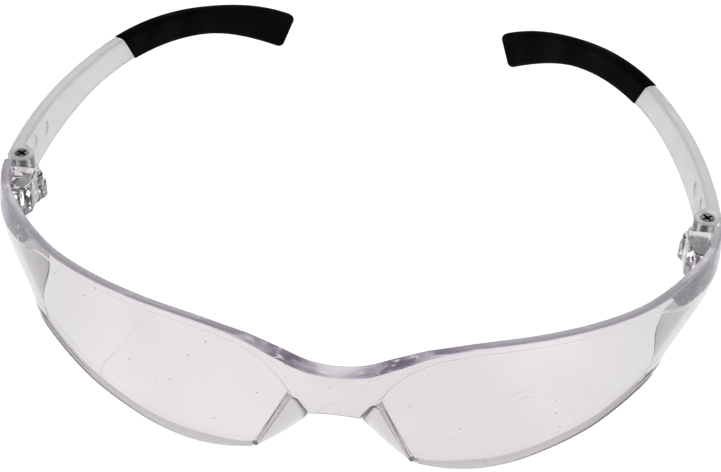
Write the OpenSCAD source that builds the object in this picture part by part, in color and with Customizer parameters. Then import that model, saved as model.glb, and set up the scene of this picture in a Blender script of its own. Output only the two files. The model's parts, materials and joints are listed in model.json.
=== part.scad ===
// Wraparound safety glasses: a one-piece clear lens with its own nose bridge and
// side wings, and two folding temples with rubber tips on screwed hinges.
// X runs across the face, -Y is the front, +Y points to the ears and Z is up.
// The glasses stand open on a flat surface, on the lens's lower rims and the tips.

/* [Lens] */
// Half width of the lens surface at the hinges
lens_half_width = 74.8; // [73:0.2:78]
// How far the lens reaches in front of the hinge line
lens_depth = 43; // [38:0.5:48]
// Squareness of the wrap seen from above (2 is an ellipse)
wrap_power = 2.33; // [2.1:0.01:2.6]
// Radius of the lens in the vertical direction
vertical_radius = 101; // [80:1:140]
// Height at which the lens bulges out furthest
bulge_height = 27; // [20:1:34]
// Wall thickness of the lens
lens_wall = 2.4; // [2:0.1:3]
// Depth of the brow ledge over the nose
ledge_depth = 4.4; // [3:0.1:5.5]
// How far the lower rim of a side wing tucks in towards the cheek
wing_tuck = 7.5; // [5:0.5:9]
// Depth of the nose flanges behind the lens
flange_depth = 6; // [4:0.5:8]
// Wall thickness of the nose flanges
flange_wall = 1.8; // [1.4:0.1:2.4]

/* [Hinge] */
// Distance of each hinge axis from the middle
hinge_x = 71; // [70.6:0.1:71.4]
// Height of the underside of the hinge above the table
hinge_z = 29.6; // [28:0.2:31]
// Height of one knuckle
knuckle_height = 3.9; // [3.4:0.1:4]
// Gap between two knuckles
knuckle_gap = 0.15; // [0.1:0.05:0.3]
// Outer radius of the knuckles
knuckle_radius = 3.2; // [3:0.1:3.4]
// Diameter of the screw's shank
screw_d = 1.6; // [1.4:0.1:2]
// Diameter of the screw's head
screw_head_d = 3; // [2.8:0.1:3.4]
// Running clearance around the shank, on the radius
pin_clearance = 0.05; // [0.03:0.01:0.09]

/* [Temples] */
// Reach of a temple behind the hinge line
temple_reach = 116; // [105:1:125]
// How far the tip curves in towards the head
temple_inset = 42; // [34:1:48]
// Height of the temple's middle at the hinge
temple_z = 35.6; // [34:0.2:36.4]
// Thickness of the blade
blade_wall = 2.8; // [2.4:0.1:3.2]
// Height of the blade at the hinge
blade_height = 11; // [10:0.5:12]
// Where the rubber tip starts, behind the hinge line
sleeve_start = 56; // [50:1:62]

/* [Hidden] */
$fn = 48;

// Outline of the lens seen from the front: [x, z] from the middle outwards
nose_corner = [5.2, 16.8];
nose_peak = [8, 22];
nose_foot = [15, 4];
lower_rim = [nose_foot, [19, 1.6], [24, 0.35], [29, 0.03], [34, 0.9], [39, 2.9], [45, 6.6], [51, 11],
    [56, 16.2], [60, 20.4], [64, 22.4], [69, 22.8], [76, 23]];
brow = [[0, 27.2], [6, 28.5], [12, 31.5], [18, 34.3], [26, 36.2], [40, 37.8], [52, 39.1], [59, 40.3],
    [64, 42], [68, 43.5], [71, 43.4], [76, 41.5]];
ledge_height = 2.2;
wing_start = 50;
wing_bend_z = 38;
wing_drop = 16;
rear_angle = 86.5;
wall_rows = 9;
wall_columns = 26;

// Curves and surfaces
function clamp01(v) = min(1, max(0, v));
function ease(v) = let (c = clamp01(v)) c * c * (3 - 2 * c);
function segment_at(list, x, i = 0) = i >= len(list) - 2 || x < list[i + 1][0] ? i : segment_at(list, x, i + 1);
function slope(list, i) =
    let (a = list[max(0, i - 1)], b = list[min(len(list) - 1, i + 1)])
    (b[1] - a[1]) / (b[0] - a[0]);
// Smooth curve through [x, z] points
function smooth_at(list, x) =
    let (i = segment_at(list, x), a = list[i], b = list[i + 1], w = b[0] - a[0])
    let (u = clamp01((x - a[0]) / w), m0 = slope(list, i) * w, m1 = slope(list, i + 1) * w)
    (2 * u^3 - 3 * u^2 + 1) * a[1] + (u^3 - 2 * u^2 + u) * m0 + (3 * u^2 - 2 * u^3) * b[1] + (u^3 - u^2) * m1;
function line_at(a, b, x) = a[1] + (b[1] - a[1]) * (x - a[0]) / (b[0] - a[0]);
function rim_z(x) =
    x <= nose_corner[0] ? nose_corner[1] + 0.4 * (1 - (x / nose_corner[0])^2)
    : x <= nose_peak[0] ? line_at(nose_corner, nose_peak, x)
    : x <= nose_foot[0] ? line_at(nose_peak, nose_foot, x)
    : smooth_at(lower_rim, x);
function brow_z(x) = smooth_at(brow, x);
function set_back(z) = vertical_radius - sqrt(vertical_radius^2 - (z - bulge_height)^2);
// Depth of the brow ledge at x: deepest over the nose, plain wall at the sides
function ledge_at(x) = lens_wall + (ledge_depth - lens_wall) * (1 - ease((x - 7) / 17));
// The wings lean in towards their lower rim, a little less again at the hinge
function tuck(angle, z) = wing_tuck * ease((angle - wing_start) / 26) * (1 - 0.3 * ease((angle - 80) / 8))
    * clamp01((wing_bend_z - z) / wing_drop)^1.6;
// Point on the lens, at an angle round the wrap and a height, some way under the outside
function lens_point(angle, z, under) =
    let (a = lens_half_width - set_back(z) - under, b = lens_depth - set_back(z) - under)
    let (s = abs(sin(angle))^(2 / wrap_power), c = abs(cos(angle))^(2 / wrap_power))
    [sign(angle) * (a * s - tuck(abs(angle), z)), -b * c, z];
// Angle round the wrap at which the outside reaches x
function angle_at(x) = asin(clamp01(x / (lens_half_width - 1.2))^(wrap_power / 2));
function flat_x(angle) = (lens_half_width - 1.2) * sin(angle)^(2 / wrap_power);
nose_angles = [for (x = [0, 2.6, 5.2, 6.6, 8, 9.4, 10.8, 12.2, 13.6, 15]) angle_at(x)];
side_angles = [for (i = [1:wall_columns]) angle_at(15) + (rear_angle - angle_at(15)) * i / wall_columns];
half_angles = concat(nose_angles, side_angles);
angles = concat([for (i = [len(half_angles) - 1:-1:1]) -half_angles[i]], half_angles);

// One cross-section of the wall: up the outside and down the inside
function wall_ring(angle) =
    let (x = flat_x(abs(angle)), low = rim_z(x), high = brow_z(x))
    let (bend = high - ledge_height, foot = high - 2 * ledge_height)
    let (outside = [for (i = [0:wall_rows]) low + (foot - low) * i / wall_rows])
    concat(
        [for (z = outside) lens_point(angle, z, 0)],
        [lens_point(angle, bend, 0), lens_point(angle, high, 0)],
        [lens_point(angle, high, ledge_at(x)), lens_point(angle, bend, ledge_at(x))],
        [for (i = [wall_rows:-1:0]) lens_point(angle, outside[i], lens_wall)]);

// Closed solid through rings that have the same even number of points
module loft(rings) {
    n = len(rings[0]);
    last = (len(rings) - 1) * n;
    points = [for (r = rings) each r];
    sides = [for (k = [0:n:last - n]) for (i = [0:n - 1]) let (j = (i + 1) % n)
        each [[k + i, k + j, k + n + j], [k + i, k + n + j, k + n + i]]];
    // Each end is closed by strips between the two halves of its ring
    caps = [for (i = [0:n / 2 - 2]) let (a = i, b = i + 1, c = n - 2 - i, d = n - 1 - i)
        each [[d, b, a], [d, c, b], [last + a, last + b, last + d], [last + b, last + c, last + d]]];
    polyhedron(points, concat(sides, caps), convexity = 10);
}

// Lens
knuckle_pitch = knuckle_height + knuckle_gap;
middle_z = hinge_z + knuckle_pitch;
top_z = hinge_z + 2 * knuckle_pitch;
hinge_top = top_z + knuckle_height;
head_z = hinge_top - 0.9;

module lens_wall_solid() {
    loft([for (a = angles) wall_ring(a)]);
}

// A nose flange: a thin three-cornered wing turned back from the crease
flange_steps = 8;
flange_root = 0.4;
flange_side = flange_wall * [0.86, 0.35, 0.36];
module nose_flange() {
    rings = [for (i = [0:flange_steps])
        let (t = i / flange_steps, turn = sin(180 * t)^0.6)
        let (x = nose_peak[0] + (nose_foot[0] - nose_peak[0]) * t, z = line_at(nose_peak, nose_foot, x))
        let (root = lens_point(angle_at(x), z, flange_root))
        let (reach_x = (nose_corner[0] - nose_peak[0]) * (1 - t) - 1.2 * turn)
        let (reach_z = (nose_corner[1] - nose_peak[1]) * (1 - t) - 1.5 * turn)
        let (edge = root + [reach_x - 0.6, 2 + (flange_depth - 2) * turn, reach_z - 0.4])
        [root, root + flange_side + [0, lens_wall * 0.6, 0], edge + flange_side, edge]];
    loft(rings);
}

// Hinge block inside the wing, an arm behind it and the middle knuckle
block_front = 9.4;
block_back = 4;
block_inset = 4.2;
block_width = 6.2;
arm_width = 4.6;
module lens_hinge() {
    difference() {
        union() {
            translate([hinge_x - block_inset, -block_front, middle_z - 1])
                cube([block_width, block_front - block_back, 2 * knuckle_height + knuckle_gap + 0.6]);
            translate([hinge_x - knuckle_radius, -block_back - 2, middle_z]) cube([arm_width, 5, knuckle_height]);
            translate([hinge_x, 0, middle_z]) cylinder(r = knuckle_radius, h = knuckle_height);
        }
        translate([hinge_x, 0, middle_z - 1]) cylinder(d = screw_d + 2 * pin_clearance, h = knuckle_height + 2);
    }
}

module lens() {
    color("gainsboro", 0.5) translate([0, -middle_y, 0]) {
        lens_wall_solid();
        for (side = [0, 1]) mirror([side, 0, 0]) {
            nose_flange();
            lens_hinge();
        }
    }
}

// Temples
blade_x = hinge_x + knuckle_radius - blade_wall / 2 + 0.1;
sleeve_t = sleeve_start / temple_reach;
joint_slant = 0.8;
tang_wall = 1.4;
tang_height = 0.62;
tang_end = 0.86;
tang_clearance = 0.05;
tip_drop = 32.9;
joint_height = 7.4;
waist_height = 6.9;
tip_height = 9.1;
function temple_height(t) =
    t < sleeve_t ? blade_height - (blade_height - joint_height) * ease(t / sleeve_t)
    : joint_height - (joint_height - waist_height) * ease((t - sleeve_t) / 0.24)
        + (tip_height - waist_height) * ease((t - 0.74) / 0.26);
function temple_path(t) = [blade_x - temple_inset * t^1.9, temple_reach * t, temple_z - tip_drop * t^3.2];
function unit(v) = v / norm(v);
// The joint between blade and rubber is cut on a slant, and the sections lean to meet it
function lean(t) = joint_slant * (t < sleeve_t ? ease(t / sleeve_t) : 1 - ease((t - sleeve_t) / (1 - sleeve_t)));
// Rounded-rectangle section across the temple, w thick and h tall
function temple_ring(t, w, h) =
    let (p = temple_path(t), d = unit(temple_path(t + 0.01) - temple_path(t - 0.01 + (t < 0.01 ? 0.01 : 0))))
    let (across = unit([d[1], -d[0], 0]), up = cross(across, d))
    let (r = min(w, h) * 0.36)
    [for (q = [[1, 1], [-1, 1], [-1, -1], [1, -1]]) for (k = [0:2])
        let (turn = atan2(q[1], q[0]) - 45 + 45 * k)
        let (rise = q[1] * (h / 2 - r) + r * sin(turn))
        p + across * (q[0] * (w / 2 - r) + r * cos(turn)) + up * rise - d * (rise * lean(t))];
module temple_run(from, to, steps, wall, scale_h, ends) {
    loft([for (i = [0:steps]) let (t = from + (to - from) * i / steps, e = ends[0] + (ends[1] - ends[0]) * i / steps)
        temple_ring(t, wall * e, temple_height(t) * scale_h * e)]);
}

sleeve_wall = 3.4;
sleeve_scale = 1.06;
// The origin is under the middle of the whole object
tip_end = 0.998;
tip_end_scale = 0.72;
tip_end_ring = temple_ring(tip_end, sleeve_wall * tip_end_scale, temple_height(tip_end) * sleeve_scale * tip_end_scale);
tip_end_y = max([for (p = tip_end_ring) p[1]]);
middle_y = (tip_end_y - lens_depth) / 2;

blade_start = 0.004;
module temple() {
    difference() {
        union() {
            temple_run(blade_start, sleeve_t, 16, blade_wall, 1, [1, 1]);
            temple_run(sleeve_t - 0.01, tang_end, 14, tang_wall, tang_height, [1, 0.8]);
            for (z = [hinge_z, top_z]) translate([hinge_x, 0, z]) cylinder(r = knuckle_radius, h = knuckle_height);
        }
        translate([hinge_x, 0, 0]) {
            // Room for the lens's knuckle
            translate([0, 0, middle_z - knuckle_gap])
                cylinder(r = knuckle_radius + 0.3, h = knuckle_height + 2 * knuckle_gap);
            // Screw hole: loose in the upper knuckle, tight in the lower one
            translate([0, 0, top_z - 1]) cylinder(d = screw_d + 2 * pin_clearance, h = knuckle_height + 3);
            translate([0, 0, hinge_z - 1]) cylinder(d = screw_d, h = knuckle_height + 2);
            translate([0, 0, head_z]) cylinder(d = screw_head_d + 0.1, h = 3);
        }
    }
}
module left_temple() {
    color("lightgray", 0.6) translate([0, -middle_y, 0]) mirror([1, 0, 0]) temple();
}
module right_temple() {
    color("lightgray", 0.6) translate([0, -middle_y, 0]) temple();
}

// Rubber tips
module tip() {
    difference() {
        union() {
            temple_run(sleeve_t + 0.0005, 0.985, 20, sleeve_wall, sleeve_scale, [1, 1]);
            temple_run(0.98, tip_end, 3, sleeve_wall, sleeve_scale, [1, tip_end_scale]);
        }
        temple_run(sleeve_t - 0.01, tang_end + 0.002, 14, tang_wall + 2 * tang_clearance, tang_height + 0.02, [1, 0.8]);
    }
}
module left_tip() {
    color([0.04, 0.04, 0.04]) translate([0, -middle_y, 0]) mirror([1, 0, 0]) tip();
}
module right_tip() {
    color([0.04, 0.04, 0.04]) translate([0, -middle_y, 0]) tip();
}

// Hinge screws
head_height = 0.8;
recess_span = 2.2;
recess_slot = 0.5;
module screw() {
    translate([hinge_x, 0, 0]) difference() {
        union() {
            translate([0, 0, hinge_z + 0.2]) cylinder(d = screw_d, h = head_z - hinge_z);
            translate([0, 0, head_z]) cylinder(d = screw_head_d, h = head_height);
        }
        for (turn = [35, 125]) translate([0, 0, head_z + 0.5]) rotate(turn)
            cube([recess_span, recess_slot, head_height], center = true);
    }
}
module left_screw() {
    color("dimgray") translate([0, -middle_y, 0]) mirror([1, 0, 0]) screw();
}
module right_screw() {
    color("dimgray") translate([0, -middle_y, 0]) screw();
}

lens();
left_temple();
right_temple();
left_tip();
right_tip();
left_screw();
right_screw();
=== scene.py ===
import json
import math
import bpy
import bmesh
from mathutils import Matrix, Vector


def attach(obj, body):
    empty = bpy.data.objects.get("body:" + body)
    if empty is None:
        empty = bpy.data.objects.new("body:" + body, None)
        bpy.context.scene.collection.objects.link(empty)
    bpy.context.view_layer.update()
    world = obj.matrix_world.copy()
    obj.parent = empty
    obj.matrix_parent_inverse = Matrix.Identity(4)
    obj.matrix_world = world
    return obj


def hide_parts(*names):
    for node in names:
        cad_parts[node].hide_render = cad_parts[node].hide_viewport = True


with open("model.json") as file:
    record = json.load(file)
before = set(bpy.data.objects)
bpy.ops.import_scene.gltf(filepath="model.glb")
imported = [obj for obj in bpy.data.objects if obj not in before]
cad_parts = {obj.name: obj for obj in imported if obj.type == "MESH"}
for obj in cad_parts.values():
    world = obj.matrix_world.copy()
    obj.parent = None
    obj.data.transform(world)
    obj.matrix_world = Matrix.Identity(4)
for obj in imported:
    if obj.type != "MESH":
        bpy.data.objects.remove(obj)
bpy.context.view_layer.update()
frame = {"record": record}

# The hinge screws' axis gives the place of everything else
rightFold = next(j for j in frame["record"]["behaviour"]["joints"] if j["name"] == "right_fold")
hingeX = rightFold["pos_m"][0] * 1000
middleY = -rightFold["pos_m"][1] * 1000
sideName = {-1: "left", 1: "right"}


def place(p):
    # millimetres from the hinge line to metres in the frame
    return Vector((p[0] / 1000, (p[1] - middleY) / 1000, p[2] / 1000))


def share(v, start, end):
    # how far v has come from start to end, kept between 0 and 1
    return min(1, max(0, (v - start) / (end - start)))


def ease(v, start=0, end=1):
    v = share(v, start, end)
    return v * v * (3 - 2 * v)


def smoothAt(knots, x):
    # smooth curve through [x, z] knots
    i = 0
    while i < len(knots) - 2 and x >= knots[i + 1][0]:
        i += 1

    def slope(k):
        a, b = knots[max(0, k - 1)], knots[min(len(knots) - 1, k + 1)]
        return (b[1] - a[1]) / (b[0] - a[0])

    a, b = knots[i], knots[i + 1]
    w = b[0] - a[0]
    u = share(x, a[0], b[0])
    return ((2 * u**3 - 3 * u**2 + 1) * a[1] + (u**3 - 2 * u**2 + u) * slope(i) * w
            + (3 * u**2 - 2 * u**3) * b[1] + (u**3 - u**2) * slope(i + 1) * w)


def lineAt(a, b, x):
    return a[1] + (b[1] - a[1]) * (x - a[0]) / (b[0] - a[0])


def hexColour(text):
    # sRGB hex to linear
    def linear(c):
        return c / 12.92 if c <= 0.04045 else ((c + 0.055) / 1.055) ** 2.4
    return [linear(int(text[i:i + 2], 16) / 255) for i in (1, 3, 5)] + [1]


def fineScale(sizeMm):
    # the fine detail of a noise is about a quarter of its cell
    return 250 / sizeMm


def addNode(tree, kind, settings=None, links=None, **options):
    node = tree.nodes.new(kind)
    for name, value in options.items():
        setattr(node, name, value)
    for socket, value in (settings or {}).items():
        node.inputs[socket].default_value = value
    for socket, source in (links or {}).items():
        tree.links.new(source, node.inputs[socket])
    return node


def newMaterial(name):
    material = bpy.data.materials.new(name)
    material.use_nodes = True
    material.node_tree.nodes.clear()
    return material, material.node_tree


def mapNoise(tree, where, scale, detail, low, high, fromMin=0.35, fromMax=0.65):
    # a noise spread out to run from low to high
    noise = addNode(tree, "ShaderNodeTexNoise", {"Scale": scale, "Detail": detail}, {"Vector": where})
    mapped = addNode(tree, "ShaderNodeMapRange",
                     {"From Min": fromMin, "From Max": fromMax, "To Min": low, "To Max": high},
                     {"Value": noise.outputs["Fac"]})
    return mapped.outputs["Result"]


def distanceFromMiddle(tree, where):
    apart = addNode(tree, "ShaderNodeSeparateXYZ", {}, {"Vector": where})
    side = addNode(tree, "ShaderNodeMath", {}, {0: apart.outputs["X"]}, operation="ABSOLUTE")
    return side.outputs["Value"]


def grainLinks(tree, where, settings):
    # fine grain as a bump, and a roughness that wanders in patches
    grain = addNode(tree, "ShaderNodeTexNoise",
                    {"Scale": fineScale(settings["grainMm"]), "Detail": settings["grainDetail"]},
                    {"Vector": where})
    bump = addNode(tree, "ShaderNodeBump",
                   {"Strength": settings["grainStrength"], "Distance": settings["grainDepthMm"] / 1000},
                   {"Height": grain.outputs["Fac"]})
    roughness = mapNoise(tree, where, 1000 / settings["patchMm"], 3, *settings["roughness"])
    return {"Roughness": roughness, "Normal": bump.outputs["Normal"]}


print("materials")

# Injection-moulded polycarbonate, polished: glass-clear, with a faint grey body, a lilac tint that
# deepens where the eye looks along the wall, and some dust and hairlines from use
clearPlastic = {
    # the clouding colour carries painted light and shade for soft reflections, and the side colour is
    # painted shade
    "colour": "#dcd8d9", "cloudAndReflection": "#d2cecf", "side": "#c8c6c6",
    "cloudAndReflectionMm": 33.3, "sideShadeMm": (45, 68),    # where the painted side shade starts and is full, from the middle
    "edgeTint": "#dcd2de", "tintPerMetre": 30,
    "ior": 1.585, "roughness": 0.015,
    "wipeRoughness": 0.05, "wipeMarkMm": 0.4, "wipeStretch": 0.06,
    "rippleMm": 9, "rippleDepthMm": 0.01,
    "hairline": "#b2adaf", "hairlineWanderMm": 45.5, "hairlineGapMm": 11.1, "hairlineStrength": 0.9,
    "hairlineLevel": 0.52, "hairlineHalfWidth": 0.002,      # both in the height of the wide noise
    "dust": "#6b6766", "dustRadiusMm": 0.26, "dustCellMm": 4.5,   # coarser than real dust, to show at all
}


def mouldPlastic(settings, name):
    material, tree = newMaterial(name)
    where = addNode(tree, "ShaderNodeTexCoord").outputs["Object"]
    # wipe marks run across the face, so the noise is stretched along x
    stretch = addNode(tree, "ShaderNodeMapping", {"Scale": (settings["wipeStretch"], 1, 1)},
                      {"Vector": where})
    marks = mapNoise(tree, stretch.outputs["Vector"], fineScale(settings["wipeMarkMm"]), 3,
                     settings["roughness"], settings["wipeRoughness"], 0.55, 0.8)
    # soft clouding that carries painted light and shade for soft reflections, and painted shade that greys
    # the lens towards the wings, where the light leaves the wall at a slant
    cloudAndReflectionShare = mapNoise(tree, where, 1000 / settings["cloudAndReflectionMm"], 2, 0, 1)
    cloudAndReflectionTone = addNode(tree, "ShaderNodeMix",
                      {"A": hexColour(settings["colour"]), "B": hexColour(settings["cloudAndReflection"])},
                      {"Factor": cloudAndReflectionShare}, data_type="RGBA")
    start, end = settings["sideShadeMm"]
    wing = addNode(tree, "ShaderNodeMapRange", {"From Min": start / 1000, "From Max": end / 1000},
                   {"Value": distanceFromMiddle(tree, where)})
    body = addNode(tree, "ShaderNodeMix", {"B": hexColour(settings["side"])},
                   {"Factor": wing.outputs["Result"], "A": cloudAndReflectionTone.outputs["Result"]}, data_type="RGBA")
    # hairlines follow a height line of a wide noise, broken up by a finer one
    wander = addNode(tree, "ShaderNodeTexNoise",
                     {"Scale": 1000 / settings["hairlineWanderMm"], "Detail": 1}, {"Vector": where})
    off = addNode(tree, "ShaderNodeMath", {1: settings["hairlineLevel"]}, {0: wander.outputs["Fac"]},
                  operation="SUBTRACT")
    near = addNode(tree, "ShaderNodeMath", {}, {0: off.outputs["Value"]}, operation="ABSOLUTE")
    line = addNode(tree, "ShaderNodeMapRange",
                   {"From Min": 0, "From Max": settings["hairlineHalfWidth"], "To Min": 1, "To Max": 0},
                   {"Value": near.outputs["Value"]})
    broken = mapNoise(tree, where, 1000 / settings["hairlineGapMm"], 2, 0, settings["hairlineStrength"],
                      0.44, 0.56)
    hairline = addNode(tree, "ShaderNodeMath", {}, {0: line.outputs["Result"], 1: broken},
                       operation="MULTIPLY")
    scratched = addNode(tree, "ShaderNodeMix", {"B": hexColour(settings["hairline"])},
                        {"Factor": hairline.outputs["Value"], "A": body.outputs["Result"]}, data_type="RGBA")
    specks = addNode(tree, "ShaderNodeTexVoronoi", {"Scale": 1000 / settings["dustCellMm"]},
                     {"Vector": where})
    radius = settings["dustRadiusMm"] / settings["dustCellMm"]
    dusty = addNode(tree, "ShaderNodeMapRange",
                    {"From Min": radius * 0.6, "From Max": radius, "To Min": 1, "To Max": 0},
                    {"Value": specks.outputs["Distance"]})
    colour = addNode(tree, "ShaderNodeMix", {"B": hexColour(settings["dust"])},
                     {"Factor": dusty.outputs["Result"], "A": scratched.outputs["Result"]}, data_type="RGBA")
    ripple = addNode(tree, "ShaderNodeTexNoise", {"Scale": 1000 / settings["rippleMm"], "Detail": 1},
                     {"Vector": where})
    bump = addNode(tree, "ShaderNodeBump", {"Strength": 1, "Distance": settings["rippleDepthMm"] / 1000},
                   {"Height": ripple.outputs["Fac"]})
    shader = addNode(tree, "ShaderNodeBsdfPrincipled", {"Transmission Weight": 1, "IOR": settings["ior"]}, {
        "Base Color": colour.outputs["Result"], "Roughness": marks, "Normal": bump.outputs["Normal"]})
    tint = addNode(tree, "ShaderNodeVolumeAbsorption", {
        "Color": hexColour(settings["edgeTint"]), "Density": settings["tintPerMetre"]})
    addNode(tree, "ShaderNodeOutputMaterial", {},
            {"Surface": shader.outputs["BSDF"], "Volume": tint.outputs["Volume"]})
    return material


clearMaterial = mouldPlastic(clearPlastic, "clearMouldedPolycarbonate")

# The knuckles come from small slides in the mould: the same clear plastic with flow marks, so what is
# behind them breaks up
knucklePlastic = dict(clearPlastic, colour="#f2f1f1", cloudAndReflection="#e4e3e3", side="#f2f1f1",
                      rippleMm=2.2, rippleDepthMm=0.18)
knuckleMaterial = mouldPlastic(knucklePlastic, "flowMarkedPolycarbonate")

# The nose flanges are the same plastic again, with painted shade that makes them greyer where they turn away
# from the front
flangeShadePlastic = dict(clearPlastic, colour="#bdb9bb", cloudAndReflection="#c3bfc1")
flangeShadeMaterial = mouldPlastic(flangeShadePlastic, "clearFlangePaintedShade")

# So is the border round the bottom of the lens, with painted shade that makes it greyer where it bends away
# from the eye
borderShadePlastic = dict(clearPlastic, colour="#b1acae", cloudAndReflection="#b8b3b5", side="#bcb9ba")
borderShadeMaterial = mouldPlastic(borderShadePlastic, "clearBorderPaintedShade")

# The top edge was left as the mould made it: frosted and lilac. Its colour also carries painted shade
# in dark bands about 10 to 12 mm from the middle, beside the thick ledge over the nose
frostedRim = {
    "ior": 1.585, "transmission": 0.5, "roughness": (0.22, 0.4), "patchMm": 6.7,
    "grainMm": 0.3, "grainDetail": 3, "grainStrength": 0.3, "grainDepthMm": 0.03,
    "streakMm": 0.5, "streakStretch": 0.12, "bandWaverMm": 3,
    # distance from the middle in mm, and the colour there, with painted shade in the dark bands
    "bands": [(0, "#dbd5dc"), (3.5, "#c3bac6"), (7.5, "#998ba0"), (10.3, "#56485f"), (12.3, "#665970"),
              (14.5, "#9d8fa3"), (20, "#b9adbf"), (28, "#ddd4e1"), (60, "#ddd6e1"), (74, "#dad5dd")],
    "bandsReach": 75,
    "glint": "#faf8fb", "glintAmount": 0.7, "glintMm": 0.3125,   # painted glints: white streaks of painted highlight on the frost
}
# The endpieces' outside has a finer frost, and the thick stock behind it makes it a cool grey; its colour
# also carries painted shade, darkest about 64.5 mm out and lighter towards the hinge
frostedEndpiece = dict(
    frostedRim, roughness=(0.14, 0.32), glintAmount=0.35,
    bands=[(0, "#8b8792"), (61.5, "#8b8792"), (64.5, "#625d6a"), (69, "#787480"), (73.5, "#a9a6ae")])


def frostPlastic(settings, name):
    material, tree = newMaterial(name)
    where = addNode(tree, "ShaderNodeTexCoord").outputs["Object"]
    # the streaks run along the edge, and make the bands' borders waver
    stretch = addNode(tree, "ShaderNodeMapping", {"Scale": (settings["streakStretch"], 1, 1)},
                      {"Vector": where})
    waver = settings["bandWaverMm"] / 1000
    streak = mapNoise(tree, stretch.outputs["Vector"], fineScale(settings["streakMm"]), 3, -waver, waver)
    shifted = addNode(tree, "ShaderNodeMath", {}, {0: distanceFromMiddle(tree, where), 1: streak},
                      operation="ADD")
    across = addNode(tree, "ShaderNodeMath", {1: 1000 / settings["bandsReach"]},
                     {0: shifted.outputs["Value"]}, operation="MULTIPLY")
    ramp = addNode(tree, "ShaderNodeValToRGB", {}, {"Fac": across.outputs["Value"]})
    stops = ramp.color_ramp.elements
    for i, (distance, colour) in enumerate(settings["bands"]):
        position = distance / settings["bandsReach"]
        stop = stops[i] if i < 2 else stops.new(position)
        stop.position, stop.color = position, hexColour(colour)
    # painted highlight: white streaks laid over the frost's colour
    paintedGlints = mapNoise(tree, stretch.outputs["Vector"], fineScale(settings["glintMm"]), 4,
                      0, settings["glintAmount"], 0.6, 0.68)
    glinting = addNode(tree, "ShaderNodeMix", {"B": hexColour(settings["glint"])},
                       {"Factor": paintedGlints, "A": ramp.outputs["Color"]}, data_type="RGBA")
    shader = addNode(tree, "ShaderNodeBsdfPrincipled",
                     {"Transmission Weight": settings["transmission"], "IOR": settings["ior"]},
                     dict(grainLinks(tree, where, settings), **{"Base Color": glinting.outputs["Result"]}))
    addNode(tree, "ShaderNodeOutputMaterial", {}, {"Surface": shader.outputs["BSDF"]})
    return material


rimMaterial = frostPlastic(frostedRim, "frostedPolycarbonateEdge")
endpieceMaterial = frostPlastic(frostedEndpiece, "frostedPolycarbonateEndpiece")

# The temples' polycarbonate has a fine satin finish from an eroded mould: milky, soft light goes through
satinPlastic = {
    "colour": "#e9e9e8", "ior": 1.585, "transmission": 0.72, "roughness": (0.37, 0.48), "patchMm": 8.3,
    "grainMm": 0.25, "grainDetail": 4, "grainStrength": 0.25, "grainDepthMm": 0.03,
}


def satinMould(settings, name):
    material, tree = newMaterial(name)
    where = addNode(tree, "ShaderNodeTexCoord").outputs["Object"]
    shader = addNode(tree, "ShaderNodeBsdfPrincipled", {
        "Base Color": hexColour(settings["colour"]), "Transmission Weight": settings["transmission"],
        "IOR": settings["ior"]}, grainLinks(tree, where, settings))
    addNode(tree, "ShaderNodeOutputMaterial", {}, {"Surface": shader.outputs["BSDF"]})
    return material


satinMaterial = satinMould(satinPlastic, "satinMouldedPolycarbonate")

# Thermoplastic rubber, moulded in a sand-blasted mould: deep black with a dull skin and no hard glints
blackRubber = {
    "colour": "#020202", "worn": "#060606", "wearMm": 16.7,
    "ior": 1.52, "specular": 0.015, "roughness": (0.6, 0.78), "patchMm": 11.1,
    "grainMm": 0.35, "grainDetail": 3, "grainStrength": 0.5, "grainDepthMm": 0.05,
}


def sandBlastedRubber(settings, name):
    material, tree = newMaterial(name)
    where = addNode(tree, "ShaderNodeTexCoord").outputs["Object"]
    handled = mapNoise(tree, where, 1000 / settings["wearMm"], 4, 0, 1, 0.45, 0.75)
    colour = addNode(tree, "ShaderNodeMix",
                     {"A": hexColour(settings["colour"]), "B": hexColour(settings["worn"])},
                     {"Factor": handled}, data_type="RGBA")
    shader = addNode(tree, "ShaderNodeBsdfPrincipled",
                     {"IOR": settings["ior"], "Specular IOR Level": settings["specular"]},
                     dict(grainLinks(tree, where, settings), **{"Base Color": colour.outputs["Result"]}))
    addNode(tree, "ShaderNodeOutputMaterial", {}, {"Surface": shader.outputs["BSDF"]})
    return material


rubberMaterial = sandBlastedRubber(blackRubber, "blackMouldedRubber")

# Zinc-plated steel, cold-headed and turned: grey, half-gloss, with rings round the axis that are drawn
# much coarser than real turning marks
platedSteel = {
    "colour": "#77777a", "roughness": (0.3, 0.5), "patchMm": 1.43,
    "ringMm": 1.131, "ringWaver": 2, "ringStrength": 0.3, "ringDepthMm": 0.02,
}


def turnedSteel(settings, name):
    material, tree = newMaterial(name)
    where = addNode(tree, "ShaderNodeTexCoord").outputs["Object"]
    # one wave of the texture is 2 pi / 20 long at scale 1
    rings = addNode(tree, "ShaderNodeTexWave",
                    {"Scale": 1000 * math.pi / 10 / settings["ringMm"], "Distortion": settings["ringWaver"]},
                    {"Vector": where}, bands_direction="Z")
    bump = addNode(tree, "ShaderNodeBump",
                   {"Strength": settings["ringStrength"], "Distance": settings["ringDepthMm"] / 1000},
                   {"Height": rings.outputs["Fac"]})
    roughness = mapNoise(tree, where, 1000 / settings["patchMm"], 3, *settings["roughness"])
    shader = addNode(tree, "ShaderNodeBsdfPrincipled",
                     {"Base Color": hexColour(settings["colour"]), "Metallic": 1},
                     {"Roughness": roughness, "Normal": bump.outputs["Normal"]})
    addNode(tree, "ShaderNodeOutputMaterial", {}, {"Surface": shader.outputs["BSDF"]})
    return material


steelMaterial = turnedSteel(platedSteel, "zincPlatedSteel")

# The bottom of the cross recess is painted dark for the shade that falls in it, and gives no glint
recessShadeSettings = {"colour": "#0a0a0a", "specular": 0.1, "roughness": (0.6, 0.8), "patchMm": 1.11}


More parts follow.
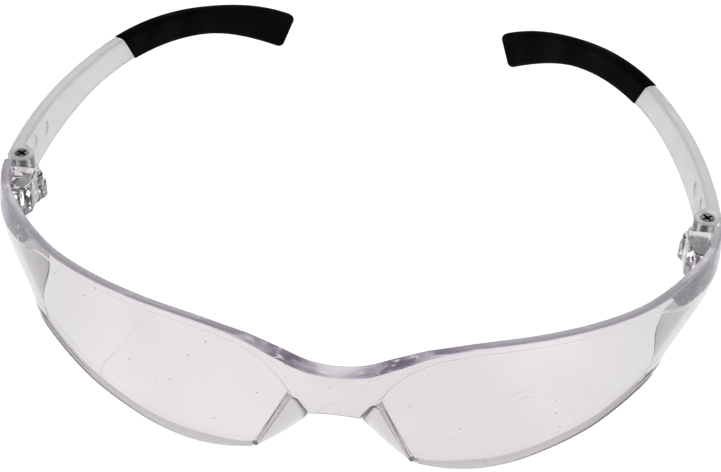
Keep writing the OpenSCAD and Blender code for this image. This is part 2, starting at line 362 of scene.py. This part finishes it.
def paintedRecessShade(settings, name):
    material, tree = newMaterial(name)
    where = addNode(tree, "ShaderNodeTexCoord").outputs["Object"]
    roughness = mapNoise(tree, where, 1000 / settings["patchMm"], 2, *settings["roughness"])
    shader = addNode(tree, "ShaderNodeBsdfPrincipled", {
        "Base Color": hexColour(settings["colour"]), "Specular IOR Level": settings["specular"],
    }, {"Roughness": roughness})
    addNode(tree, "ShaderNodeOutputMaterial", {}, {"Surface": shader.outputs["BSDF"]})
    return material


recessShadeMaterial = paintedRecessShade(recessShadeSettings, "crossRecessPaintedShade")

smoothAngle = 38       # edges sharper than this many degrees stay sharp
axisRadius = 0.0001    # mm, for the profile points on a turned solid's axis


def ringMesh(name, rings, mirror=1, finish=None):
    # closed solid through rings of points in mm, with both ends closed by strips
    n = len(rings[0])
    mesh = bpy.data.meshes.new(name)
    points = [place((p[0] * mirror, p[1], p[2])) for ring in rings for p in ring]
    faces = []
    for k in range(len(rings) - 1):
        for i in range(n):
            j = (i + 1) % n
            faces.append((k * n + i, k * n + j, (k + 1) * n + j, (k + 1) * n + i))
    last = (len(rings) - 1) * n
    for i in range(n // 2 - 1):
        a, b, c, d = i, i + 1, n - 2 - i, n - 1 - i
        faces.append((a, d, c, b))
        faces.append((last + a, last + b, last + c, last + d))
    mesh.from_pydata(points, [], faces)
    if finish:
        for k in range(len(rings) - 1):
            for i in range(n):
                mesh.polygons[k * n + i].material_index = finish(k, i)
    return meshObject(name, mesh)


def meshObject(name, mesh):
    bm = bmesh.new()
    bm.from_mesh(mesh)
    bmesh.ops.remove_doubles(bm, verts=bm.verts, dist=1e-7)
    bmesh.ops.recalc_face_normals(bm, faces=bm.faces)
    bm.to_mesh(mesh)
    bm.free()
    mesh.shade_smooth()
    mesh.set_sharp_from_angle(angle=math.radians(smoothAngle))
    made = bpy.data.objects.new(name, mesh)
    bpy.context.scene.collection.objects.link(made)
    return made


def finishMesh(made):
    # apply the modifiers, so that the piece is its final mesh
    bpy.context.view_layer.update()
    evaluated = made.evaluated_get(bpy.context.evaluated_depsgraph_get())
    mesh = bpy.data.meshes.new_from_object(evaluated)
    made.modifiers.clear()
    made.data = mesh
    mesh.shade_smooth()
    mesh.set_sharp_from_angle(angle=math.radians(smoothAngle))
    return made


def joinSolids(made, others, operation="UNION"):
    for other in others:
        step = made.modifiers.new(operation.lower(), "BOOLEAN")
        step.operation, step.object, step.solver = operation, other, "MANIFOLD"
    finishMesh(made)
    for other in others:
        bpy.data.objects.remove(other)
    return made


def spunSolid(name, profile, x, steps=64):
    # profile of [radius, z] points turned about the hinge axis at x
    mesh = bpy.data.meshes.new(name)
    n = len(profile)
    points = [place((x + r * math.cos(2 * math.pi * k / steps), r * math.sin(2 * math.pi * k / steps), z))
              for k in range(steps) for r, z in profile]
    faces = [(k * n + i, (k + 1) % steps * n + i, (k + 1) % steps * n + (i + 1) % n, k * n + (i + 1) % n)
             for k in range(steps) for i in range(n)]
    mesh.from_pydata(points, [], faces)
    return meshObject(name, mesh)


def cylinder(name, side, radius, low, high, steps=64):
    # on the hinge axis of that side
    profile = [(axisRadius, low), (radius, low), (radius, high), (axisRadius, high)]
    return spunSolid(name, profile, hingeX * side, steps)


def blockSolid(name, outline, low, high, bevel, mirror=1):
    # outline of [x, y] points pulled up from low to high, with rounded edges
    mesh = bpy.data.meshes.new(name)
    n = len(outline)
    points = [place((x * mirror, y, z)) for z in (low, high) for x, y in outline]
    faces = [tuple(range(n)), tuple(range(n, 2 * n))]
    faces += [(i, (i + 1) % n, n + (i + 1) % n, n + i) for i in range(n)]
    mesh.from_pydata(points, [], faces)
    made = meshObject(name, mesh)
    rounding = made.modifiers.new("rounding", "BEVEL")
    rounding.width, rounding.segments, rounding.limit_method = bevel / 1000, 4, "ANGLE"
    rounding.angle_limit = math.radians(30)
    return finishMesh(made)


def addMaterials(made, materials):
    for material in materials:
        made.data.materials.append(material)


def setFaces(made, slot):
    for face in made.data.polygons:
        face.material_index = slot
    return made


def finishPiece(made, body, node):
    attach(made, body)
    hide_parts(node)


print("lens")
lensShape = {
    "halfWidth": 74.8, "depth": 43, "wrapPower": 2.33,              # outline from above
    "verticalRadius": 101, "bulgeHeight": 27, "topSetBack": 1.2,    # bulge from the side
    "wall": 1.7, "ledgeDepth": 3.3, "ledgeHeight": 4,
    "ledgeX": (7, 24),          # the thick ledge over the nose thins out between these
    "rearAngle": 86.5,
    "wingTuck": 9.2, "tuckAngles": (50, 76), "tuckHeights": (38, 22), "tuckPower": 2.1,
    "tuckRelief": 0.25, "reliefAngles": (80, 88),           # a little less again beside the hinge
    "noseCorner": (5.2, 16.8), "nosePeak": (8, 21.8), "noseFoot": (16, 2.8),
    "peakRounding": 1.2, "bridgeArch": 0.4,
    "edgeRadius": 0.7, "topRadius": 0.35,                   # rounding of the lower and upper rims
    "windowStep": 0.16,         # the window sits this far below its border
    "browStep": 0.24, "noseStep": 0.576, "lowStep": 1.2,    # how wide that step is on each side
    "leastBrow": 1.2, "leastBorder": 0.9,
    "borderHeight": 3.1, "borderNarrow": 1.2, "noseBorder": 2.2,
    "borderX": (17, 29, 57, 63), "borderEnd": 61,               # widens, and narrows at the wings
    "endpieceX": (61.5, 64),
    "rearRise": 5.5, "rearRiseAngle": 78, "rearPower": 2.5,     # the lower rim climbs to the hinge
}
lowerRim = [lensShape["noseFoot"], (19, 1.6), (24, 0.35), (29, 0.05), (34, 0.9), (39, 2.9), (45, 6.6),
            (51, 11), (56, 16.2), (60, 20.4), (64, 22.4), (69, 22.8), (76, 23)]
brow = [(-6, 29.4), (0, 28.5), (6, 29.4), (12, 32.3), (18, 35.3), (26, 37.4), (40, 39), (52, 40.3),
        (59, 41.3), (64, 42.6), (68, 43.5), (71, 43.4), (76, 41.5)]
windowTop = [(0, 22.3), (5, 22.3), (8, 22.9), (9.2, 24.4), (10.6, 27), (14, 30.8), (18, 33.4), (21, 34.7),
             (30, 36.4), (40, 37.4), (52, 38.7), (58, 39.6), (61, 39.3), (64, 37.6), (70, 36.8), (76, 36.8)]

# Points up one section of the wall
rows = {"corner": 4, "border": 3, "window": 20, "brow": 12, "ledge": 8}
lowLine = rows["corner"] + rows["border"]
topLine = lowLine + rows["window"] + 2
quarter = [math.radians(90 * i / (rows["corner"] - 1)) for i in range(rows["corner"])]

# Material slots of the lens
polished, frosted, flowMarked, darkFrosted, flangeShaded, borderShaded = range(6)


def rimZ(x):
    s = lensShape
    if x <= s["noseCorner"][0]:
        return s["noseCorner"][1] + s["bridgeArch"] * (1 - (x / s["noseCorner"][0]) ** 2)
    if x > s["noseFoot"][0]:
        return smoothAt(lowerRim, x)
    peakX, w = s["nosePeak"][0], s["peakRounding"]
    if abs(x - peakX) < w:
        t = (x - peakX + w) / 2 / w
        return ((1 - t) ** 2 * lineAt(s["noseCorner"], s["nosePeak"], peakX - w)
                + 2 * t * (1 - t) * s["nosePeak"][1]
                + t ** 2 * lineAt(s["nosePeak"], s["noseFoot"], peakX + w))
    if x < peakX:
        return lineAt(s["noseCorner"], s["nosePeak"], x)
    return lineAt(s["nosePeak"], s["noseFoot"], x)


def setBack(z):
    r = lensShape["verticalRadius"]
    return r - math.sqrt(r ** 2 - (z - lensShape["bulgeHeight"]) ** 2)


def tuck(angle, z):
    # the wings lean in towards their lower rim
    s = lensShape
    relief = 1 - s["tuckRelief"] * ease(angle, *s["reliefAngles"])
    lower = share(z, *s["tuckHeights"]) ** s["tuckPower"]
    return s["wingTuck"] * ease(angle, *s["tuckAngles"]) * relief * lower


def lensPoint(angle, z, under):
    # angle round the wrap in degrees, height, and how far below the outside
    s = lensShape
    a, b = s["halfWidth"] - setBack(z) - under, s["depth"] - setBack(z) - under
    turn = math.radians(angle)
    along = abs(math.sin(turn)) ** (2 / s["wrapPower"])
    forward = abs(math.cos(turn)) ** (2 / s["wrapPower"])
    return (math.copysign(a * along - tuck(abs(angle), z), angle), -b * forward, z)


flatHalf = lensShape["halfWidth"] - lensShape["topSetBack"]    # half width near the top edge


def angleAt(x):
    return math.degrees(math.asin(share(x, 0, flatHalf) ** (lensShape["wrapPower"] / 2)))


def flatX(angle):
    return flatHalf * math.sin(math.radians(angle)) ** (2 / lensShape["wrapPower"])


def spread(low, high, count):
    return [low + (high - low) * (i + 0.5) / count for i in range(count)]


def windowEdges(x, low, high):
    # heights of the border's top and of the window's top, and the widths of the steps there
    s = lensShape
    window = max(min(smoothAt(windowTop, x), high - s["leastBrow"]), low + s["leastBorder"])
    widens, wide, narrows, narrow = s["borderX"]
    full = ease(x, widens, wide) * (1 - ease(x, narrows, narrow))
    height = s["borderNarrow"] + (s["borderHeight"] - s["borderNarrow"]) * full
    height += s["noseBorder"] * share(x, s["noseFoot"][0], s["nosePeak"][0])
    border = low + min(height, max(s["edgeRadius"] + 0.1, 0.45 * (window - low)))
    # the step under the brow keeps its width where it runs steeply
    climb = (smoothAt(windowTop, x + 0.2) - smoothAt(windowTop, x - 0.2)) / 0.4
    gap = min(s["browStep"] * math.hypot(1, climb), 0.2 * (window - border))
    lowGap = min(s["noseStep"] if x < s["noseFoot"][0] else s["lowStep"], 0.25 * (window - border))
    return border, window, lowGap, gap


def wallRing(angle):
    # up the outside and down the inside of the wall
    s = lensShape
    x = flatX(abs(angle))
    r, top, wall = s["edgeRadius"], s["topRadius"], s["wall"]
    low = rimZ(x) + s["rearRise"] * share(abs(angle), s["rearRiseAngle"], s["rearAngle"]) ** s["rearPower"]
    high = smoothAt(brow, x)
    border, window, lowGap, gap = windowEdges(x, low, high)
    step = s["windowStep"] * ease(x, s["nosePeak"][0] + 0.2, s["nosePeak"][0] + 1.4)
    outside = [(low + r * (1 - math.cos(a)), r * (1 - math.sin(a))) for a in quarter]
    outside += [(z, 0) for z in spread(low + r, border, rows["border"])]
    outside += [(border, 0), (border + lowGap, step)]
    outside += [(z, step) for z in spread(border + lowGap, window - gap, rows["window"])]
    outside += [(window - gap, step), (window, 0)]
    outside += [(z, 0) for z in spread(window, high - top, rows["brow"])]
    outside += [(high - top * (1 - math.sin(a)), top * (1 - math.cos(a))) for a in quarter]
    # the ledge over the nose is thicker than the wall
    ledgeLow = high - s["ledgeHeight"]
    depth = wall + (s["ledgeDepth"] - wall) * (1 - ease(x, *s["ledgeX"]))
    plain = len(outside) - rows["ledge"] - 2 * rows["corner"]
    inside = [(low + r * (1 - math.cos(a)), wall - r * (1 - math.sin(a))) for a in quarter]
    inside += [(z, wall) for z in spread(low + r, ledgeLow, plain)]
    inside += [(z, wall + (depth - wall) * ease(z, ledgeLow, high - top))
               for z in spread(ledgeLow, high - top, rows["ledge"])]
    inside += [(high - top * (1 - math.sin(a)), depth - top * (1 - math.cos(a))) for a in quarter]
    return [lensPoint(angle, z, under) for z, under in outside + inside[::-1]]


# Sections every quarter of a millimetre as far as x = 15, round the nose, and wider apart from there
noseAngles = [angleAt(i / 4) for i in range(61)]
sideAngles = [noseAngles[-1] + (lensShape["rearAngle"] - noseAngles[-1]) * i / 120 for i in range(1, 121)]
halfAngles = noseAngles + sideAngles
angles = [-a for a in reversed(halfAngles[1:])] + halfAngles
rowCount = len(wallRing(0)) // 2


def lensFinish(ring, row):
    x = flatX(abs(angles[ring]))
    start, end = lensShape["endpieceX"]
    peakX, footX = lensShape["nosePeak"][0], lensShape["noseFoot"][0]
    if rowCount - rows["corner"] <= row <= rowCount + rows["corner"] - 2:
        return frosted
    # the endpieces' frost reaches from the top edge down to just above the window's line
    if x > start and topLine + 3 + 10 * (1 - ease(x, start, end)) <= row < rowCount:
        return darkFrosted
    # a thin dark line goes round each window
    if row == topLine and x > peakX + 0.4 or row == lowLine and peakX + 0.6 < x < footX + 1:
        return darkFrosted
    # the border round the bottom takes its painted shade
    if row <= lowLine and lensShape["borderX"][0] < x < lensShape["borderEnd"]:
        return borderShaded
    # the edges round the nose take the frost, which is dark there with painted shade
    onNose = lensShape["noseCorner"][0] + 0.1 < x < footX - 0.1
    onEdge = row < rows["corner"] - 1 or row > 2 * rowCount - rows["corner"]
    return frosted if onNose and onEdge else polished


flangeShape = {
    "depth": 6, "wall": 1.1, "wallWay": (0.86, 0.35, 0.36),
    "heel": (-0.6, 2, -0.4),        # the free edge's place at both ends
    "lean": 1.2, "drop": 4.2,       # how far it hangs in and down halfway
    "bow": (-0.35, -0.5, -0.2), "turnPower": 0.6, "rootUnder": 0.4, "rootWall": 0.6, "rounding": 0.12,
    "lengthSteps": 28, "widthSteps": 8,
}


def noseFlange(side):
    # a thin three-cornered wing turned back from the crease beside the nose
    s, f = lensShape, flangeShape
    corner, peak, foot = s["noseCorner"], s["nosePeak"], s["noseFoot"]
    n = f["widthSteps"]
    across = Vector(f["wallWay"]) * f["wall"]
    rings = []
    for i in range(f["lengthSteps"] + 1):
        t = i / f["lengthSteps"]
        turn = math.sin(math.pi * t) ** f["turnPower"] if 0 < t < 1 else 0
        x = peak[0] + (foot[0] - peak[0]) * t
        root = Vector(lensPoint(angleAt(x), lineAt(peak, foot, x), f["rootUnder"]))
        reachX = (corner[0] - peak[0]) * (1 - t) - f["lean"] * turn
        reachZ = (corner[1] - peak[1]) * (1 - t) - f["drop"] * turn
        edge = root + Vector(f["heel"]) + Vector((reachX, (f["depth"] - f["heel"][1]) * turn, reachZ))
        thick = root + across + Vector((0, s["wall"] * f["rootWall"], 0))
        # the front face bows gently out between crease and free edge
        bows = [Vector(f["bow"]) * turn * math.sin(math.pi * k / n) for k in range(n + 1)]
        front = [root.lerp(edge, k / n) + bows[k] for k in range(n + 1)]
        rear = [(edge + across).lerp(thick, k / n) + bows[k] for k in range(n + 1)]
        front[-1] = front[-1].lerp(rear[0], f["rounding"])
        rear[0] = rear[0].lerp(edge, f["rounding"])
        rings.append([tuple(p) for p in front + rear])
    # the free edge takes the frost, with its dark painted shade there, and the rest the flange's painted
    # shade
    return ringMesh("flange", rings, side, lambda ring, row: frosted if row == n else flangeShaded)


hinge = {
    "low": 29.6, "knuckle": 3.9, "gap": 0.15, "radius": 3.2, "topRadius": 2.6, "rounding": 0.45,
    # lobe on each knuckle: direction in degrees, distance from the axis and radius
    "lowLobe": (150, 2.6, 1.8), "middleLobe": (205, 2.6, 1.9), "topLobe": (60, 1.2, 2.2),
    # outlines beside the axis
    "block": [(-4.2, -9.4), (-2.6, -12), (-0.6, -12), (1.2, -4), (-4.2, -4)],
    "blockShort": 0.4, "blockRounding": 0.5,
    "arm": [(-3.2, -6), (1.4, -6), (1.4, -1), (-3.2, -1)], "armRounding": 0.4,
    "screwRadius": 0.8, "headRadius": 1.5, "headDepth": 0.9, "clearance": 0.05, "room": 0.35,
}
middleLow = hinge["low"] + hinge["knuckle"] + hinge["gap"]
topLow = middleLow + hinge["knuckle"] + hinge["gap"]
hingeTop = topLow + hinge["knuckle"]


def eggOutline(lobe, radius, steps=40):
    # a round knuckle with a smaller lobe on one side, as one outline round the hinge axis
    lobeAngle, lobeReach, lobeRadius = lobe
    centre = Vector((math.cos(math.radians(lobeAngle)), math.sin(math.radians(lobeAngle)))) * lobeReach
    points = []
    for k in range(steps):
        a = 2 * math.pi * k / steps
        d = Vector((math.cos(a), math.sin(a)))
        reach = radius
        b = d.dot(centre)
        inside = b * b - centre.length_squared + lobeRadius ** 2
        if inside > 0:
            reach = max(reach, b + math.sqrt(inside))
        points.append((hingeX + d.x * reach, d.y * reach))
    return points


def knuckle(name, lobe, radius, low, side):
    return blockSolid(name, eggOutline(lobe, radius), low, low + hinge["knuckle"], hinge["rounding"], side)


def hingeParts(side):
    # block behind the wing, arm, and the knuckle that sits between the temple's two
    h = hinge
    block, arm = ([(hingeX + x, y) for x, y in h[part]] for part in ("block", "arm"))
    blockTop = hingeTop - h["blockShort"]
    parts = [blockSolid("hingeBlock", block, middleLow, blockTop, h["blockRounding"], side),
             blockSolid("hingeArm", arm, middleLow, middleLow + h["knuckle"], h["armRounding"], side),
             knuckle("middleKnuckle", h["middleLobe"], h["radius"], middleLow, side)]
    return [setFaces(part, flowMarked) for part in parts]


lens = ringMesh("lens_shell", [wallRing(a) for a in angles], finish=lensFinish)
addMaterials(lens, [clearMaterial, rimMaterial, knuckleMaterial, endpieceMaterial, flangeShadeMaterial,
                    borderShadeMaterial])
joinSolids(lens, [part for side in (-1, 1) for part in [noseFlange(side)] + hingeParts(side)])
# The bores' tools run a little past the knuckles
boreRadius = hinge["screwRadius"] + hinge["clearance"]
joinSolids(lens, [cylinder("bore", side, boreRadius, middleLow - 1, topLow + 0.5, 40) for side in (-1, 1)],
           "DIFFERENCE")
finishPiece(lens, "lens", "lens")

print("temples")
templeShape = {
    "reach": 116, "inset": 42, "insetPower": 1.9, "z": 35.6, "drop": 32.7, "dropPower": 3.2,
    "height": 11, "jointHeight": 7.4, "waistHeight": 6.9, "tipHeight": 9.1,
    "waistRun": 0.24, "flareFrom": 0.74,                # parts of the reach, like start below
    "sleeveStart": 56, "jointSlant": 0.8,
    "wall": 2.8, "rounding": 0.36, "start": 0.004, "proud": 0.1,
    "pinRadius": 1.7, "pinDepth": 0.16, "pinMarks": [(9, 37.4), (15.5, 36.6)],
}
bladeX = hingeX + hinge["radius"] - templeShape["wall"] / 2 + templeShape["proud"]
sleeveT = templeShape["sleeveStart"] / templeShape["reach"]


def templeHeight(t):
    s = templeShape
    if t < sleeveT:
        return s["height"] - (s["height"] - s["jointHeight"]) * ease(t, 0, sleeveT)
    waist = ease(t, sleeveT, sleeveT + s["waistRun"])
    return (s["jointHeight"] - (s["jointHeight"] - s["waistHeight"]) * waist
            + (s["tipHeight"] - s["waistHeight"]) * ease(t, s["flareFrom"], 1))


def templePath(t):
    # from the hinge at 0 to the end of the tip at 1
    s = templeShape
    return Vector((bladeX - s["inset"] * max(t, 0) ** s["insetPower"], s["reach"] * t,
                   s["z"] - s["drop"] * max(t, 0) ** s["dropPower"]))


def lean(t):
    # the joint between blade and rubber is cut on a slant
    rise = ease(t, 0, sleeveT) if t < sleeveT else 1 - ease(t, sleeveT, 1)
    return templeShape["jointSlant"] * rise


def templeRing(t, width, height, rounding, steps=6):
    p = templePath(t)
    d = (templePath(t + 0.005) - templePath(t - 0.005)).normalized()
    across = Vector((d.y, -d.x, 0)).normalized()
    up = across.cross(d)
    r = min(width, height) * rounding
    ring = []
    for qx, qz in ((1, 1), (-1, 1), (-1, -1), (1, -1)):
        for k in range(steps + 1):
            turn = math.atan2(qz, qx) + math.radians(-45 + 90 * k / steps)
            rise = qz * (height / 2 - r) + r * math.sin(turn)
            out = qx * (width / 2 - r) + r * math.cos(turn)
            ring.append(p + across * out + up * rise - d * rise * lean(t))
    return [tuple(q) for q in ring]


def pinTool(side, y, z):
    # cuts the shallow round mark an ejector pin leaves on the inner face
    s = templeShape
    face = templePath(y / s["reach"]).x - s["wall"] / 2
    turns = [math.pi * k / 20 for k in range(40)]
    circle = [(y + s["pinRadius"] * math.cos(a), z + s["pinRadius"] * math.sin(a)) for a in turns]
    return ringMesh("pinMark", [[(x, *p) for p in circle] for x in (face - 1, face + s["pinDepth"])], side)


def bladeTools(side):
    # room for the lens's knuckle, the screw's bores and the counterbore for its head
    h = hinge
    headBore = h["headRadius"] + h["clearance"]
    tools = [cylinder("room", side, h["radius"] + h["room"], middleLow - h["gap"], topLow),
             cylinder("bore", side, boreRadius, topLow - 1, hingeTop + 2, 40),
             cylinder("bore", side, h["screwRadius"], h["low"] - 1, middleLow + 1, 40),
             cylinder("bore", side, headBore, hingeTop - h["headDepth"], hingeTop + 2, 40)]
    return tools + [pinTool(side, y, z) for y, z in templeShape["pinMarks"]]


def makeBlade(side):
    s, name = templeShape, sideName[side]
    rings = [templeRing(t, s["wall"], templeHeight(t), s["rounding"])
             for t in (s["start"] + (sleeveT - s["start"]) * i / 60 for i in range(61))]
    blade = ringMesh(name + "_temple_blade", rings, side)
    addMaterials(blade, [satinMaterial, knuckleMaterial])
    low = setFaces(knuckle("knuckleLow", hinge["lowLobe"], hinge["radius"], hinge["low"], side), 1)
    top = setFaces(knuckle("knuckleTop", hinge["topLobe"], hinge["topRadius"], topLow, side), 1)
    for face in top.data.polygons:
        if face.normal.z > 0.5:
            face.material_index = 0    # the top is satin like the blade
    joinSolids(blade, [low, top])
    joinSolids(blade, bladeTools(side), "DIFFERENCE")
    finishPiece(blade, name + "_arm", name + "_temple")


# Distances along the temple are parts of its reach; sizes at the ends are parts of the thickness
tipShape = {
    "wall": 3.4, "scale": 1.06, "rounding": 0.42, "gap": 0.0005,
    "mouth": [(0, 0.86), (0.002, 0.95), (0.005, 1)], "end": 0.983, "endLength": 0.01, "endLoss": 0.35,
    "heightShare": 0.425,    # an end loses this much of its height for each part of thickness
}


def makeTip(side):
    s, name = tipShape, sideName[side]
    start = sleeveT + s["gap"]
    stations = [(start + t, size) for t, size in s["mouth"]]
    full = stations[-1][0]
    stations += [(full + (s["end"] - full) * i / 70, 1) for i in range(1, 71)]
    for a in (25, 45, 65, 90):
        a = math.radians(a)
        stations.append((s["end"] + s["endLength"] * math.sin(a), 1 - s["endLoss"] * (1 - math.cos(a))))
    rings = []
    for t, size in stations:
        height = templeHeight(t) * s["scale"] * (1 - s["heightShare"] * (1 - size))
        rings.append(templeRing(t, s["wall"] * size, height, s["rounding"]))
    tip = ringMesh(name + "_rubber_tip", rings, side)
    addMaterials(tip, [rubberMaterial])
    finishPiece(tip, name + "_arm", name + "_tip")


screwShape = {
    "short": 0.2, "chamfer": 0.15,
    # head: distance past its radius, and height above its underside
    "head": [(-0.1, 0), (0, 0.1), (0, 0.5), (-0.12, 0.7), (-0.35, 0.8)],
    "crossTurns": (35, 125), "crossReach": 1.15, "crossHalf": (0.22, 0.36), "crossFloor": 0.1,
}


def makeScrew(side):
    # hinge screw with a cross recess
    s, name = screwShape, sideName[side]
    headLow = hingeTop - hinge["headDepth"]
    r, foot = hinge["screwRadius"], hinge["low"] + s["short"]
    profile = [(axisRadius, foot), (r - s["chamfer"], foot), (r, foot + s["chamfer"]), (r, headLow)]
    profile += [(hinge["headRadius"] + out, headLow + up) for out, up in s["head"]]
    profile.append((axisRadius, profile[-1][1]))
    screw = spunSolid(name + "_hinge_screw", profile, hingeX * side)
    reach, (end, middle) = s["crossReach"], s["crossHalf"]
    slot = [(-reach, -end), (0, -middle), (reach, -end), (reach, end), (0, middle), (-reach, end)]
    cuts = []
    for turn in s["crossTurns"]:
        c, n = math.cos(math.radians(turn)), math.sin(math.radians(turn))
        outline = [(hingeX + c * u - n * v, n * u + c * v) for u, v in slot]
        cut = blockSolid("cut", outline, headLow + s["crossFloor"], headLow + 1.5, 0.05, side)
        # the cutters' faces line the recess and carry its painted shade
        cuts.append(setFaces(cut, 1))
    addMaterials(screw, [steelMaterial, recessShadeMaterial])
    joinSolids(screw, cuts, "DIFFERENCE")
    finishPiece(screw, name + "_arm", name + "_screw")


for side in (-1, 1):
    makeBlade(side)
    makeTip(side)
    makeScrew(side)

print("floor, light and camera")
studio = {
    "floor": "#8f8f8f", "floorHalf": 2.5, "floorGlow": 0.95,
    "sky": "#f2f2f5", "skyPower": 0.42,
    "softboxPower": 9, "softboxSize": 1.2,
    # place in metres, and its part of the power
    "softboxes": {"softboxLeft": ((-1.1, -0.7, 1.4), 1), "softboxRight": ((1.2, -0.4, 1.3), 0.7),
                  "softboxBack": ((0.1, 1.3, 1.2), 0.9)},
}
floorMesh = bpy.data.meshes.new("floor")
half = studio["floorHalf"]
corners = [(-half, -half, 0), (half, -half, 0), (half, half, 0), (-half, half, 0)]
floorMesh.from_pydata(corners, [], [(0, 1, 2, 3)])
floor = bpy.data.objects.new("floor", floorMesh)
bpy.context.scene.collection.objects.link(floor)
floorMaterial, tree = newMaterial("paleFloor")
shader = addNode(tree, "ShaderNodeBsdfPrincipled", {
    "Base Color": hexColour(studio["floor"]), "Roughness": 0.9, "Specular IOR Level": 0.1,
    "Emission Color": hexColour("#ffffff"), "Emission Strength": studio["floorGlow"]})
addNode(tree, "ShaderNodeOutputMaterial", {}, {"Surface": shader.outputs["BSDF"]})
floorMesh.materials.append(floorMaterial)

bpy.context.scene.view_settings.view_transform = "Standard"
world = bpy.data.worlds.new("studio")
world.use_nodes = True
world.node_tree.nodes["Background"].inputs["Color"].default_value = hexColour(studio["sky"])
world.node_tree.nodes["Background"].inputs["Strength"].default_value = studio["skyPower"]
bpy.context.scene.world = world

for name, (spot, power) in studio["softboxes"].items():
    light = bpy.data.lights.new(name, "AREA")
    light.shape, light.size = "SQUARE", studio["softboxSize"]
    light.energy = studio["softboxPower"] * power
    lamp = bpy.data.objects.new(name, light)
    lamp.location = spot
    lamp.rotation_euler = (-Vector(spot)).to_track_quat("-Z", "Y").to_euler()
    bpy.context.scene.collection.objects.link(lamp)

# Angles in degrees, distances in mm
view = {"azimuth": 3.867, "elevation": 40, "roll": 3.027, "distance": 335.06,
        "target": (-0.334, 13.326, 16.592), "lens": 74.9}
azimuth, elevation, roll = (math.radians(view[k]) for k in ("azimuth", "elevation", "roll"))
back = Vector((math.sin(azimuth) * math.cos(elevation), -math.cos(azimuth) * math.cos(elevation),
               math.sin(elevation)))
camera = bpy.data.objects.new("camera", bpy.data.cameras.new("camera"))
camera.data.lens, camera.data.sensor_width = view["lens"], 36
camera.data.clip_start = 0.01
level = Vector((math.cos(azimuth), math.sin(azimuth), 0))
upright = back.cross(level)
across = level * math.cos(roll) + upright * math.sin(roll)
camera.location = place(view["target"]) + back * view["distance"] / 1000
camera.rotation_euler = Matrix((across, back.cross(across), back)).transposed().to_euler()
bpy.context.scene.collection.objects.link(camera)
bpy.context.scene.camera = camera
